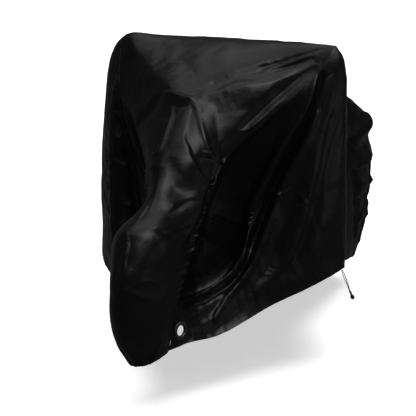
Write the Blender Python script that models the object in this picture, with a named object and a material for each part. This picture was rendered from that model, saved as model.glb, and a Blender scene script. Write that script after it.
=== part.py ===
"""Fitted cloth cover for a two-wheeled vehicle, in the shape it takes over a parked one.

The vehicle itself is not modelled, so the cover is a hollow skin, open underneath. A long centre
panel runs from the nose hem, over the front wheel and the handlebar, back over the saddle to the
tail. Two side panels hang from its edges. Heights in the tables are above the ground; the model's
origin is just under the cloth at the middle of the handlebar, with the nose towards -Y and +X on
the rider's left.
"""
import bmesh
import bpy
import numpy as np

# ---------------------------------------------------------------- driving dimensions, metres
TOP_HEIGHT = 1.020          # the origin above the ground, just under the cloth at the handlebar
CLOTH = 0.0015              # thickness of every panel
SEAM_GAP = 0.00025          # each panel stops this far short of a seam line
ROWS = 16                   # facets down a side panel
FRONT_COLUMNS = 28          # facets along a side panel, from the nose seam to just behind the wing
REAR_COLUMNS = 12           # and from there to the tail seam
WING_END = 0.40             # where the closely faceted front stretch ends, as a share of the seam
CENTRE_COLUMNS = 10         # facets across the centre panel

EYELET_RADIUS = 0.029       # outer edge of the lock eyelet's flange
EYELET_BORE = 0.016         # radius of the hole through it
EYELET_FLANGE = 0.0026      # thickness of each of its two flanges
EYELET_CLEARANCE = 0.0004   # between the eyelet and the cloth it clamps
CORNER_COLUMNS = 4          # facets along the corner that holds an eyelet
CORNER_ROWS = 3             # facets up it
CORNER_FLAT = 0.0315        # radius of the flat cloth round an eyelet

PATCH_STANDOFF = 0.0004     # the sewn patch above the side panel
PATCH_COLUMNS = (20, 24)    # facet columns of the side panel that it covers
PATCH_ROWS = (1, 5)         # facet rows that it covers

CORD_DIAMETER = 0.0025
CORD_STEP = 0.006           # between points of a cord's line
STOPPER_NECK = 0.0034       # radius of the moulded piece where the cords enter
STOPPER_KNOB = 0.0068       # radius of its knob
STOPPER_SIDES = 16

# ---------------------------------------------------------------- sections of the side panels
# One row for each vertical section of a side panel. s runs along the seam with the centre panel,
# from the knee over the front wheel (0) to the tail seam (1). top_* is the seam's point and hem_*
# the hem's. high_* and low_* bow the section outwards (x) and backwards (y) a third of the way
# from its upper and lower end, and shoulder rounds the cloth over the end of the handlebar.
SECTION_COLUMNS = ("name", "s", "top_x", "top_y", "top_z", "hem_x", "hem_y", "hem_z",
                   "high_x", "high_y", "low_x", "low_y", "shoulder")
LEFT_SECTIONS = [
    ("knee",       0.00, 0.102, -0.300, 0.683, 0.055, -0.575, 0.155, 0.000, -0.014, 0.012, -0.061, 0.000),
    ("hollow",     0.14, 0.196, -0.205, 0.783, 0.171, -0.426, 0.177, -0.085, 0.050, -0.070, 0.020, 0.000),
    ("wing_front", 0.28, 0.320, -0.070, 0.925, 0.309, -0.169, 0.249, 0.010, -0.010, 0.000, -0.010, 0.010),
    ("wing_tip",   0.36, 0.363, 0.000, 1.012, 0.400, 0.000, 0.298, 0.002, 0.000, 0.002, 0.000, 0.035),
    ("wing_back",  0.44, 0.325, 0.060, 0.980, 0.370, 0.080, 0.283, 0.000, 0.010, 0.000, 0.010, 0.020),
    ("waist",      0.58, 0.110, 0.280, 0.905, 0.240, 0.300, 0.215, 0.010, 0.000, 0.000, 0.000, 0.020),
    ("saddle",     0.74, 0.095, 0.560, 0.850, 0.190, 0.600, 0.150, 0.020, 0.000, 0.010, 0.000, 0.020),
    ("tail_side",  0.90, 0.192, 0.860, 0.680, 0.165, 0.880, 0.112, 0.010, 0.000, 0.015, 0.000, 0.020),
    ("tail_seam",  1.00, 0.165, 0.955, 0.640, 0.130, 0.950, 0.105, 0.010, 0.020, 0.020, 0.020, 0.010),
]
RIGHT_SECTIONS = [
    ("knee",       0.00, 0.150, -0.320, 0.695, 0.060, -0.590, 0.145, -0.020, 0.030, 0.020, -0.090, 0.000),
    ("hollow",     0.14, 0.235, -0.215, 0.785, 0.110, -0.450, 0.155, -0.035, 0.060, -0.020, 0.060, 0.000),
    ("wing_front", 0.28, 0.335, -0.100, 0.890, 0.350, -0.150, 0.225, 0.010, -0.010, 0.010, -0.010, 0.010),
    ("wing_tip",   0.36, 0.363, 0.000, 1.018, 0.462, 0.000, 0.272, 0.010, 0.000, 0.004, 0.000, 0.050),
    ("wing_back",  0.44, 0.325, 0.060, 0.985, 0.410, 0.080, 0.260, 0.000, 0.010, 0.000, 0.010, 0.020),
    ("waist",      0.58, 0.110, 0.280, 0.905, 0.260, 0.300, 0.205, 0.010, 0.000, 0.000, 0.000, 0.020),
    ("saddle",     0.74, 0.095, 0.560, 0.850, 0.190, 0.600, 0.150, 0.020, 0.000, 0.010, 0.000, 0.020),
    ("tail_side",  0.90, 0.182, 0.860, 0.680, 0.160, 0.880, 0.112, 0.010, 0.000, 0.015, 0.000, 0.020),
    ("tail_seam",  1.00, 0.155, 0.955, 0.640, 0.130, 0.950, 0.105, 0.010, 0.020, 0.020, 0.020, 0.010),
]
# One row for each cross-section of the centre panel on its middle line. q runs from the nose hem
# (0) up to the knee (1), along the seams' s to the tail seam (2) and down to the tail hem (3).
# roundness is 1 where the panel is wrapped round the wheel and 0 where it is stretched flat.
CENTRE_SECTION_COLUMNS = ("name", "q", "y", "z", "roundness")
CENTRE_SECTIONS = [
    ("nose_hem",    0.00, -0.680, 0.128, 1.0),
    ("nose_low",    0.18, -0.745, 0.225, 1.0),
    ("nose_tip",    0.40, -0.780, 0.350, 1.0),
    ("wheel_front", 0.55, -0.765, 0.440, 1.0),
    ("wheel_top",   0.68, -0.670, 0.520, 0.9),
    ("fork",        0.82, -0.560, 0.600, 0.6),
    ("knee",        1.00, -0.440, 0.720, 0.3),
    ("lamp",        1.14, -0.290, 0.850, 0.1),
    ("bar_front",   1.28, -0.110, 0.975, 0.0),
    ("bar",         1.36, 0.000, 1.022, 0.0),
    ("bar_back",    1.44, 0.090, 1.000, 0.0),
    ("spine",       1.58, 0.300, 0.930, 0.2),
    ("saddle",      1.74, 0.570, 0.885, 0.4),
    ("tail_top",    1.90, 0.880, 0.715, 0.4),
    ("tail_edge",   2.00, 0.985, 0.660, 0.4),
    ("tail_back",   2.40, 1.035, 0.450, 0.5),
    ("tail_hem",    3.00, 0.990, 0.100, 0.5),
]
# The main folds. Each runs through three places of its panel, (s, v) on a side panel with v from
# the seam (0) to the hem (1), and (q, w) on the centre panel with w from the right seam (-1) to
# the left (1). Its half width goes from the first to the second value, and it stands out by its
# height, or sinks where that is negative.
FOLD_COLUMNS = ("name", "panel", "start", "middle", "end", "first_width", "last_width", "height")
FOLDS = [
    ("wing_edge_ridge", "left", (0.285, 0.02), (0.240, 0.22), (0.205, 0.66), 0.018, 0.030, 0.028),
    ("wing_edge_groove", "left", (0.302, 0.04), (0.262, 0.36), (0.212, 0.76), 0.014, 0.026, -0.026),
    ("long_ridge", "left", (0.285, 0.12), (0.240, 0.50), (0.130, 0.96), 0.018, 0.032, 0.026),
    ("long_groove", "left", (0.275, 0.30), (0.258, 0.66), (0.180, 0.94), 0.026, 0.036, -0.028),
    ("sweep_ridge", "left", (0.318, 0.20), (0.305, 0.62), (0.230, 0.98), 0.020, 0.040, 0.014),
    ("wing_groove", "left", (0.338, 0.12), (0.332, 0.50), (0.326, 0.80), 0.016, 0.024, -0.010),
    ("corner_ridge", "left", (0.190, 0.70), (0.120, 0.82), (0.040, 0.80), 0.020, 0.024, 0.018),
    ("corner_groove", "left", (0.190, 0.76), (0.120, 0.89), (0.060, 0.88), 0.018, 0.020, -0.014),
    ("seat_fold", "left", (0.600, 0.10), (0.640, 0.45), (0.660, 0.90), 0.040, 0.060, -0.026),
    ("hip_fold", "left", (0.480, 0.12), (0.500, 0.50), (0.490, 0.95), 0.030, 0.050, 0.016),
    ("tail_fold", "left", (0.780, 0.08), (0.840, 0.30), (0.960, 0.42), 0.030, 0.040, -0.022),
    ("wing_edge_ridge", "right", (0.285, 0.03), (0.260, 0.35), (0.250, 0.85), 0.018, 0.034, 0.022),
    ("wing_edge_groove", "right", (0.240, 0.08), (0.200, 0.40), (0.190, 0.80), 0.026, 0.036, -0.028),
    ("long_ridge", "right", (0.200, 0.10), (0.150, 0.45), (0.100, 0.85), 0.022, 0.028, 0.018),
    ("seat_fold", "right", (0.600, 0.10), (0.640, 0.45), (0.660, 0.90), 0.040, 0.060, -0.028),
    ("hip_fold", "right", (0.480, 0.10), (0.500, 0.50), (0.490, 0.95), 0.030, 0.050, -0.016),
    ("tail_fold", "right", (0.790, 0.08), (0.850, 0.35), (0.960, 0.50), 0.030, 0.040, -0.020),
    ("kite_ridge", "centre", (1.150, 0.00), (1.190, 0.45), (1.290, 0.90), 0.024, 0.030, 0.016),
    ("kite_groove", "centre", (1.200, 0.00), (1.240, 0.50), (1.310, 0.80), 0.024, 0.024, -0.014),
    ("leaf_ridge", "centre", (1.150, 0.00), (1.030, 0.20), (0.900, 0.70), 0.020, 0.026, 0.020),
    ("leaf_groove", "centre", (1.130, 0.30), (1.050, 0.60), (0.980, 0.80), 0.022, 0.020, -0.018),
    ("brow_ridge", "centre", (1.340, -0.85), (1.240, -0.55), (1.150, -0.15), 0.026, 0.030, 0.014),
    ("brow_groove", "centre", (1.200, -0.55), (1.100, -0.60), (1.020, -0.80), 0.024, 0.026, -0.018),
    ("fork_ridge", "centre", (1.100, -0.20), (0.980, -0.40), (0.850, -0.60), 0.020, 0.028, 0.014),
    ("fork_groove", "centre", (0.990, 0.05), (0.900, 0.15), (0.780, 0.10), 0.024, 0.026, -0.012),
    ("saddle_dip", "centre", (1.500, -0.40), (1.600, 0.00), (1.680, 0.30), 0.050, 0.050, -0.020),
    ("tail_dip", "centre", (1.820, -0.30), (1.860, 0.10), (1.880, 0.60), 0.040, 0.040, -0.016),
    ("neck_dent", "centre", (0.600, -0.95), (0.750, -0.76), (0.880, -0.75), 0.080, 0.080, -0.044),
    ("wheel_crest", "centre", (0.630, -0.80), (0.655, -0.10), (0.665, 0.55), 0.050, 0.060, 0.016),
]

# The tie hangs free from the left hem's corner: each cord through its own points, then the stopper
TIE_FRONT = [(0.4000, -0.0030, 0.2955), (0.4040, 0.0050, 0.2760), (0.4110, 0.0190, 0.2480), (0.4165, 0.0325, 0.2215)]
TIE_BACK = [(0.3995, 0.0080, 0.2945), (0.4060, 0.0155, 0.2755), (0.4125, 0.0250, 0.2480), (0.4170, 0.0355, 0.2212)]
STOPPER_START = (0.4173, 0.0353, 0.2194)
STOPPER_END = (0.4230, 0.0560, 0.1880)


# ---------------------------------------------------------------- the draped surface
def spline(knots, rows, at):
    """Smooth values through the rows at the places at; rows has one row for each knot."""
    slope = np.gradient(rows, knots, axis=0)
    i = np.clip(np.searchsorted(knots, at, side="right") - 1, 0, len(knots) - 2)
    span = (knots[i + 1] - knots[i])[:, None]
    t = (at - knots[i])[:, None] / span
    return ((1 + 2 * t) * (1 - t) ** 2 * rows[i] + t * (1 - t) ** 2 * span * slope[i]
            + t ** 2 * (3 - 2 * t) * rows[i + 1] + t ** 2 * (t - 1) * span * slope[i + 1])


def table_values(table, at):
    numbers = np.array([row[1:] for row in table])
    return spline(numbers[:, 0], numbers[:, 1:], at)


def side_surface(s, v, side):
    """Points of a side panel at s along the seam and v down from it; side is "left" or "right"."""
    s, v = np.broadcast_arrays(np.asarray(s, float), np.asarray(v, float))
    sections = LEFT_SECTIONS if side == "left" else RIGHT_SECTIONS
    values = table_values(sections, s.ravel()).reshape(s.shape + (11,))
    top, hem = values[..., 0:3], values[..., 3:6]
    high, low, shoulder = values[..., 6:8], values[..., 8:10], values[..., 10]
    down = v[..., None]
    points = top + (hem - top) * down
    points[..., :2] += high * (6.75 * down * (1 - down) ** 2) + low * (6.75 * down ** 2 * (1 - down))
    points[..., 0] += shoulder * (1 - np.exp(-v / 0.045)) * (1 - v)
    if side == "right":
        points[..., 0] *= -1
    return points


def centre_surface(q, w):
    """Points of the centre panel at q along it and w across it."""
    q, w = np.broadcast_arrays(np.asarray(q, float), np.asarray(w, float))
    s = np.clip(q - 1, 0, 1)
    v = np.where(q < 1, 1 - q, np.maximum(q - 2, 0))
    left, right = side_surface(s, v, "left"), side_surface(s, v, "right")
    middle, half = (left + right) / 2, (left - right) / 2
    values = table_values(CENTRE_SECTIONS, q.ravel()).reshape(q.shape + (3,))
    crown = np.stack([-middle[..., 0], values[..., 0] - middle[..., 1], values[..., 1] - middle[..., 2]], axis=-1)
    roundness = values[..., 2]
    across = (1 - roundness) * w + roundness * np.sin(np.pi * w / 2)
    out = (1 - roundness) * (1 - w ** 2) + roundness * np.cos(np.pi * w / 2)
    return middle + half * across[..., None] + crown * out[..., None]


def surface(panel, a, b):
    return centre_surface(a, b) if panel == "centre" else side_surface(a, b, panel)


def fold_height(panel, points, seam_distance):
    """How far the folds lift each point of a panel, fading out towards its seams."""
    lift = np.zeros(points.shape[:-1])
    t = np.linspace(0, 1, 25)
    for name, where, start, middle, end, first_width, last_width, height in FOLDS:
        if where != panel:
            continue
        places = (np.outer((1 - t) ** 2, start) + np.outer(t ** 2, end)
                  + np.outer(2 * t * (1 - t), 2 * np.array(middle) - (np.array(start) + np.array(end)) / 2))
        line = surface(panel, places[:, 0], places[:, 1])
        away = np.linalg.norm(points[..., None, :] - line, axis=-1)
        nearest = away.argmin(axis=-1)
        along = t[nearest]
        width = first_width + (last_width - first_width) * along
        fade = np.sin(np.pi * (0.06 + 0.88 * along)) ** 0.7
        lift += height * fade * np.exp(-(away.min(axis=-1) / width) ** 2)
    return lift * (1 - np.exp(-(seam_distance / 0.05) ** 2))


def grid_normals(points):
    """Unit normals of a grid of points, from its first index towards its second."""
    normals = np.cross(np.gradient(points, axis=0), np.gradient(points, axis=1))
    return normals / np.linalg.norm(normals, axis=-1, keepdims=True)


def seam_order(grid):
    """A side panel's grid edge: up the nose seam, along the top and down the tail seam."""
    return np.concatenate([grid[0, ::-1], grid[1:, 0], grid[-1, 1:]])


def set_seam(grid, values):
    """Write values, in the order of seam_order, along a side panel's grid edge."""
    columns, rows = grid.shape[:2]
    grid[0, ::-1] = values[:rows]
    grid[1:, 0] = values[rows:rows + columns - 1]
    grid[-1, 1:] = values[rows + columns - 1:]


def draped_panels():
    """Outer points and outward normals of the three panels, folded, sharing normals at the seams."""
    s = np.concatenate([np.linspace(0, WING_END, FRONT_COLUMNS + 1),
                        np.linspace(WING_END, 1, REAR_COLUMNS + 1)[1:]])
    v = np.linspace(0, 1, ROWS + 1)
    q = np.concatenate([v, 1 + s[1:], 2 + v[1:]])
    w = np.linspace(-1, 1, CENTRE_COLUMNS + 1)
    places = {"left": np.meshgrid(s, v, indexing="ij"), "right": np.meshgrid(s, v, indexing="ij"),
              "centre": np.meshgrid(q, w, indexing="ij")}
    points, normals = {}, {}
    for panel, (a, b) in places.items():
        base = surface(panel, a, b)
        outward = grid_normals(base) * (1 if panel == "right" else -1)
        across = np.minimum(np.minimum(a, 1 - a) * 1.5, b * 0.7) if panel != "centre" else (1 - abs(b)) * 0.2
        points[panel] = base + outward * fold_height(panel, base, across)[..., None]
        normals[panel] = grid_normals(points[panel]) * (1 if panel == "right" else -1)
    for panel, column in (("left", -1), ("right", 0)):
        shared = seam_order(normals[panel]) + normals["centre"][:, column]
        shared /= np.linalg.norm(shared, axis=-1, keepdims=True)
        set_seam(normals[panel], shared)
        normals["centre"][:, column] = shared
    return points, normals


# ---------------------------------------------------------------- building meshes
def material(name, colour, roughness):
    made = bpy.data.materials.new(name)
    made.use_nodes = True
    shader = made.node_tree.nodes["Principled BSDF"]
    shader.inputs["Base Color"].default_value = (*colour, 1)
    shader.inputs["Roughness"].default_value = roughness
    return made


def shell(name, outer, inner, faces, made_of, parent):
    """A closed skin: the faces on the outer points, again on the inner ones, and a rim between."""
    bm = bmesh.new()
    used = sorted({i for face in faces for i in face})
    above = {i: bm.verts.new(outer[i]) for i in used}
    below = {i: bm.verts.new(inner[i]) for i in used}
    edges = {(face[k], face[(k + 1) % len(face)]) for face in faces for k in range(len(face))}
    for face in faces:
        bm.faces.new([above[i] for i in face])
        bm.faces.new([below[i] for i in reversed(face)])
    for a, b in edges:
        if (b, a) not in edges:
            bm.faces.new((above[b], above[a], below[a], below[b]))
    bmesh.ops.triangulate(bm, faces=bm.faces[:])
    if bm.calc_volume(signed=True) < 0:
        bmesh.ops.reverse_faces(bm, faces=bm.faces[:])
    return finished(name, bm, made_of, parent)


def finished(name, bm, made_of, parent):
    mesh = bpy.data.meshes.new(name)
    bm.to_mesh(mesh)
    bm.free()
    mesh.materials.append(made_of)
    mesh.shade_smooth()
    built = bpy.data.objects.new(name, mesh)
    bpy.context.collection.objects.link(built)
    built.parent = parent
    return built


def grid_faces(shape, kept):
    columns, rows = shape[:2]
    return [(i * rows + j, (i + 1) * rows + j, (i + 1) * rows + j + 1, i * rows + j + 1)
            for i in range(columns - 1) for j in range(rows - 1) if kept(i, j)]


def drawn_in(points, inner, edge, neighbour):
    """Move an edge of a panel a seam gap towards the points beside it, on both of its skins."""
    inwards = points[neighbour] - points[edge]
    inwards *= SEAM_GAP / np.linalg.norm(inwards, axis=-1, keepdims=True)
    points[edge] += inwards
    inner[edge] += inwards


def cloth_panel(name, points, normals, is_side, made_of, parent):
    outer, inner = points.copy(), points - normals * CLOTH
    everything = slice(None)
    if is_side:
        drawn_in(outer, inner, (0, everything), (1, everything))
        drawn_in(outer, inner, (-1, everything), (-2, everything))
        drawn_in(outer, inner, (everything, 0), (everything, 1))
    else:
        drawn_in(outer, inner, (everything, 0), (everything, 1))
        drawn_in(outer, inner, (everything, -1), (everything, -2))
    faces = grid_faces(points.shape, lambda i, j: not (is_side and i < CORNER_COLUMNS and j >= ROWS - CORNER_ROWS))
    return shell(name, outer.reshape(-1, 3), inner.reshape(-1, 3), faces, made_of, parent)


# ---------------------------------------------------------------- the lock corners and eyelets
def corner_outline(points, normals):
    """The corner's boundary, two samples a facet, with the normals there, going once round."""
    first_row = ROWS - CORNER_ROWS
    walk = ([(i, first_row) for i in range(CORNER_COLUMNS)] + [(CORNER_COLUMNS, j) for j in range(first_row, ROWS)]
            + [(i, ROWS) for i in range(CORNER_COLUMNS, 0, -1)] + [(0, j) for j in range(ROWS, first_row, -1)])
    place = np.array([points[at] for at in walk])
    normal = np.array([normals[at] for at in walk])
    place = np.stack([place, (place + np.roll(place, -1, axis=0)) / 2], axis=1).reshape(-1, 3)
    normal = np.stack([normal, (normal + np.roll(normal, -1, axis=0)) / 2], axis=1).reshape(-1, 3)
    return place, normal / np.linalg.norm(normal, axis=-1, keepdims=True)


def lock_corner(side, points, normals, cloth, plastic, parent):
    """The cloth corner round the eyelet's hole, and the ring that clamps it."""
    outline, outline_normals = corner_outline(points, normals)
    centre = outline.mean(axis=0)
    facing = outline_normals.mean(axis=0)
    facing /= np.linalg.norm(facing)
    spokes = outline - centre
    spokes -= np.outer(spokes @ facing, facing)
    first = spokes[0] / np.linalg.norm(spokes[0])
    second = np.cross(facing, first)
    second *= np.sign(np.cross(spokes[0], spokes[2]) @ facing)
    angles = np.linspace(0, 2 * np.pi, len(outline), endpoint=False)
    circle = np.outer(np.cos(angles), first) + np.outer(np.sin(angles), second)
    to_centre = centre - outline
    outline = outline + to_centre * (2 * SEAM_GAP / np.linalg.norm(to_centre, axis=-1, keepdims=True))
    hole = centre + circle * (EYELET_BORE + 0.004)
    flat = centre + circle * CORNER_FLAT
    rings = [hole, flat, (flat * 0.5 + outline * 0.5), outline]
    flat_normals = np.repeat(facing[None], len(outline), axis=0)
    ring_normals = [flat_normals, flat_normals, (flat_normals + outline_normals) / 2, outline_normals]
    outer = np.concatenate(rings)
    inner = outer - np.concatenate(ring_normals) * CLOTH
    count = len(outline)
    faces = [(r * count + k, r * count + (k + 1) % count, (r + 1) * count + (k + 1) % count, (r + 1) * count + k)
             for r in range(len(rings) - 1) for k in range(count)]
    shell(side + "_lock_corner", outer, inner, faces, cloth, parent)

    neck = EYELET_BORE + 0.004 - EYELET_CLEARANCE
    front, back = EYELET_CLEARANCE, -CLOTH - EYELET_CLEARANCE
    profile = [(EYELET_BORE + 0.0006, back - EYELET_FLANGE), (EYELET_RADIUS - 0.001, back - EYELET_FLANGE),
               (EYELET_RADIUS, back - EYELET_FLANGE / 2), (EYELET_RADIUS - 0.0005, back), (neck, back),
               (neck, front), (EYELET_RADIUS - 0.0005, front), (EYELET_RADIUS, front + EYELET_FLANGE / 2),
               (EYELET_RADIUS - 0.002, front + EYELET_FLANGE), (EYELET_BORE + 0.003, front + EYELET_FLANGE),
               (EYELET_BORE, front + EYELET_FLANGE / 2), (EYELET_BORE, back - EYELET_FLANGE / 2)]
    turned_ring(side + "_lock_eyelet", centre, circle, facing, profile, plastic, parent)


def turned_ring(name, centre, spokes, axis, profile, made_of, parent):
    """A ring turned from a closed profile of (radius, height), with a section on each spoke."""
    bm = bmesh.new()
    rings = [[bm.verts.new(centre + spoke * radius + axis * height) for radius, height in profile]
             for spoke in spokes]
    for k in range(len(rings)):
        here, there = rings[k], rings[(k + 1) % len(rings)]
        for i in range(len(profile)):
            j = (i + 1) % len(profile)
            bm.faces.new((here[i], there[i], there[j], here[j]))
    if bm.calc_volume(signed=True) < 0:
        bmesh.ops.reverse_faces(bm, faces=bm.faces[:])
    return finished(name, bm, made_of, parent)


def sewn_patch(points, normals, cloth, parent):
    """The narrow piece sewn over the left panel, lying on its facets."""
    part = (slice(PATCH_COLUMNS[0], PATCH_COLUMNS[1] + 1), slice(PATCH_ROWS[0], PATCH_ROWS[1] + 1))
    under = points[part] + normals[part] * PATCH_STANDOFF
    over = under + normals[part] * CLOTH
    faces = grid_faces(under.shape, lambda i, j: True)
    return shell("left_sewn_patch", over.reshape(-1, 3), under.reshape(-1, 3), faces, cloth, parent)


# ---------------------------------------------------------------- the tie
def smooth_line(route, step):
    """Points about a step apart on the smooth curve through a route."""
    route = np.array(route)
    along = np.concatenate([[0], np.cumsum(np.linalg.norm(np.diff(route, axis=0), axis=1))])
    count = int(np.ceil(along[-1] / step)) + 1
    return spline(along, route, np.linspace(0, along[-1], count))


def tie_cord(name, route, made_of, parent):
    curve = bpy.data.curves.new(name, "CURVE")
    curve.dimensions = "3D"
    curve.bevel_depth = CORD_DIAMETER / 2
    curve.bevel_resolution = 2
    curve.use_fill_caps = True
    line = smooth_line(route, CORD_STEP)
    spline_points = curve.splines.new("POLY").points
    spline_points.add(len(line) - 1)
    for point, place in zip(spline_points, line):
        point.co = (*place, 1)
    curve.materials.append(made_of)
    cord = bpy.data.objects.new(name, curve)
    bpy.context.collection.objects.link(cord)
    cord.parent = parent


def tie_stopper(made_of, parent):
    """A neck that takes both cords, ending in an oblong knob."""
    start, end = np.array(STOPPER_START), np.array(STOPPER_END)
    length = np.linalg.norm(end - start)
    axis = (end - start) / length
    across = np.cross(axis, (1, 0, 0))
    across /= np.linalg.norm(across)
    up = np.cross(axis, across)
    profile = [(0.0, STOPPER_NECK * 0.8), (0.08, STOPPER_NECK), (0.50, STOPPER_NECK), (0.60, STOPPER_KNOB * 0.75),
               (0.72, STOPPER_KNOB), (0.86, STOPPER_KNOB), (0.96, STOPPER_KNOB * 0.75), (1.0, STOPPER_KNOB * 0.35)]
    bm = bmesh.new()
    rings = []
    for share, radius in profile:
        rings.append([bm.verts.new(start + axis * length * share
                                   + radius * (across * np.cos(angle) + up * np.sin(angle)))
                      for angle in np.linspace(0, 2 * np.pi, STOPPER_SIDES, endpoint=False)])
    for here, there in zip(rings, rings[1:]):
        for k in range(STOPPER_SIDES):
            j = (k + 1) % STOPPER_SIDES
            bm.faces.new((here[k], here[j], there[j], there[k]))
    bm.faces.new(rings[0][::-1])
    bm.faces.new(rings[-1])
    if bm.calc_volume(signed=True) < 0:
        bmesh.ops.reverse_faces(bm, faces=bm.faces[:])
    return finished("tie_stopper", bm, made_of, parent)


def build():
    for old in list(bpy.data.objects):
        bpy.data.objects.remove(old)
    ground = bpy.data.objects.new("ground_level", None)
    bpy.context.collection.objects.link(ground)
    ground.location = (0, 0, -TOP_HEIGHT)

    cloth = material("black_cloth", (0.018, 0.018, 0.020), 0.55)
    corner_cloth = material("black_corner_cloth", (0.016, 0.016, 0.018), 0.5)
    plastic = material("black_plastic", (0.03, 0.03, 0.032), 0.4)
    cord = material("black_cord", (0.02, 0.02, 0.02), 0.8)

    points, normals = draped_panels()
    cloth_panel("centre_panel", points["centre"], normals["centre"], False, cloth, ground)
    for side in ("left", "right"):
        cloth_panel(side + "_side_panel", points[side], normals[side], True, cloth, ground)
        lock_corner(side, points[side], normals[side], corner_cloth, plastic, ground)
    sewn_patch(points["left"], normals["left"], cloth, ground)
    tie_cord("tie_cord_front", TIE_FRONT, cord, ground)
    tie_cord("tie_cord_back", TIE_BACK, cord, ground)
    tie_stopper(plastic, ground)


build()
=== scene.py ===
"""Looks of the fitted bicycle cover: its draped cloth, seams, eyelets and tie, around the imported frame.

The cover hangs as it does over a parked bicycle, nose towards -Y, +X on the rider's left. The
panels follow the same sections as the solids, on much finer grids, and take their folds, gathers
and creases from the tables below. Lengths are metres unless a comment says otherwise.
"""
import math

import bpy
import numpy as np
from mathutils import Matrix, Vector, noise


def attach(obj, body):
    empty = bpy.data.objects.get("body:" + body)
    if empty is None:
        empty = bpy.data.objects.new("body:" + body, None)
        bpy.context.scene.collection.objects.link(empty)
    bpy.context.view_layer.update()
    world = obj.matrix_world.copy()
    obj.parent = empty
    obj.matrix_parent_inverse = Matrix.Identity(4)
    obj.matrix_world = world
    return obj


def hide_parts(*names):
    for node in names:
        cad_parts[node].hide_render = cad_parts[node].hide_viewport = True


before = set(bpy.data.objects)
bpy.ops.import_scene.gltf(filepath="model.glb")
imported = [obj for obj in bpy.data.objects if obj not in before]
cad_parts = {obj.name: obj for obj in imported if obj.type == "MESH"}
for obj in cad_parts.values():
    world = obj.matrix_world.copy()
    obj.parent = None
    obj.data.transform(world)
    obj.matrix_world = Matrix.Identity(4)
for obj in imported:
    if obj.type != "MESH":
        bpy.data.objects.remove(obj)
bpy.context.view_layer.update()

# ---------------------------------------------------------------- sizes
TOP_HEIGHT = 1.020  # the frame's origin above the ground
CAMERA_AZIMUTH = 23.3  # degrees from -Y towards +X
CAMERA_ELEVATION = 12.7
CAMERA_DISTANCE = 4.81
CAMERA_TARGET = (-0.068, 0.002, -0.562)
CAMERA_LENS = 125.8  # millimetres, on a 36 mm sensor

CLOTH = 0.0008  # between the two faces of a turned hem
HEM_DEPTH = 0.016  # of the turned hem
HEM_ROWS = (0.0010, HEM_DEPTH * 0.5, HEM_DEPTH)  # depths of the turned cloth's grid lines
HEM_STITCHES = 0.013  # from a hem's edge to its stitches
SEAM_STITCHES = 0.006  # from a seam to the row of stitches beside it
FRONT_COLUMNS = 190  # grid columns of a side panel, from the nose seam to behind the wing
REAR_COLUMNS = 110  # and from there to the tail seam
ROWS = 300  # grid rows down a side panel
CENTRE_COLUMNS = 104  # grid columns across the centre panel
CENTRE_BUNCH = 0.325  # half turns; draws the centre panel's columns towards its seams
WING_END = 0.40  # share of the seam where the finer columns end
BOW_SCALE = 6.75  # a bow reaches its full size a third of the way down or up
SHOULDER_DROP = 0.045  # how soon below the seam a shoulder has come out
SEED = 7  # of the gathers' random sizes

# ---------------------------------------------------------------- sections
# As in the solids, but for the hem at the hollow, which is 15 mm higher here.
# name, s, top x y z, hem x y z, high bow x y, low bow x y, shoulder
LEFT_SECTIONS = [
    ("knee",       0.00, 0.102, -0.300, 0.683, 0.055, -0.575, 0.155, 0.000, -0.014, 0.012, -0.061, 0.000),
    ("hollow",     0.14, 0.196, -0.205, 0.783, 0.171, -0.426, 0.192, -0.085, 0.050, -0.070, 0.020, 0.000),
    ("wing_front", 0.28, 0.320, -0.070, 0.925, 0.309, -0.169, 0.249, 0.010, -0.010, 0.000, -0.010, 0.010),
    ("wing_tip",   0.36, 0.363, 0.000, 1.012, 0.400, 0.000, 0.298, 0.002, 0.000, 0.002, 0.000, 0.035),
    ("wing_back",  0.44, 0.325, 0.060, 0.980, 0.370, 0.080, 0.283, 0.000, 0.010, 0.000, 0.010, 0.020),
    ("waist",      0.58, 0.110, 0.280, 0.905, 0.240, 0.300, 0.215, 0.010, 0.000, 0.000, 0.000, 0.020),
    ("saddle",     0.74, 0.095, 0.560, 0.850, 0.190, 0.600, 0.150, 0.020, 0.000, 0.010, 0.000, 0.020),
    ("tail_side",  0.90, 0.192, 0.860, 0.680, 0.165, 0.880, 0.112, 0.010, 0.000, 0.015, 0.000, 0.020),
    ("tail_seam",  1.00, 0.165, 0.955, 0.640, 0.130, 0.950, 0.105, 0.010, 0.020, 0.020, 0.020, 0.010),
]
RIGHT_SECTIONS = [
    ("knee",       0.00, 0.150, -0.320, 0.695, 0.060, -0.590, 0.145, -0.020, 0.030, 0.020, -0.090, 0.000),
    ("hollow",     0.14, 0.235, -0.215, 0.785, 0.110, -0.450, 0.155, -0.035, 0.060, -0.020, 0.060, 0.000),
    ("wing_front", 0.28, 0.335, -0.100, 0.890, 0.350, -0.150, 0.225, 0.010, -0.010, 0.010, -0.010, 0.010),
    ("wing_tip",   0.36, 0.363, 0.000, 1.018, 0.462, 0.000, 0.272, 0.010, 0.000, 0.004, 0.000, 0.050),
    ("wing_back",  0.44, 0.325, 0.060, 0.985, 0.410, 0.080, 0.260, 0.000, 0.010, 0.000, 0.010, 0.020),
    ("waist",      0.58, 0.110, 0.280, 0.905, 0.260, 0.300, 0.205, 0.010, 0.000, 0.000, 0.000, 0.020),
    ("saddle",     0.74, 0.095, 0.560, 0.850, 0.190, 0.600, 0.150, 0.020, 0.000, 0.010, 0.000, 0.020),
    ("tail_side",  0.90, 0.182, 0.860, 0.680, 0.160, 0.880, 0.112, 0.010, 0.000, 0.015, 0.000, 0.020),
    ("tail_seam",  1.00, 0.155, 0.955, 0.640, 0.130, 0.950, 0.105, 0.010, 0.020, 0.020, 0.020, 0.010),
]
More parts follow.
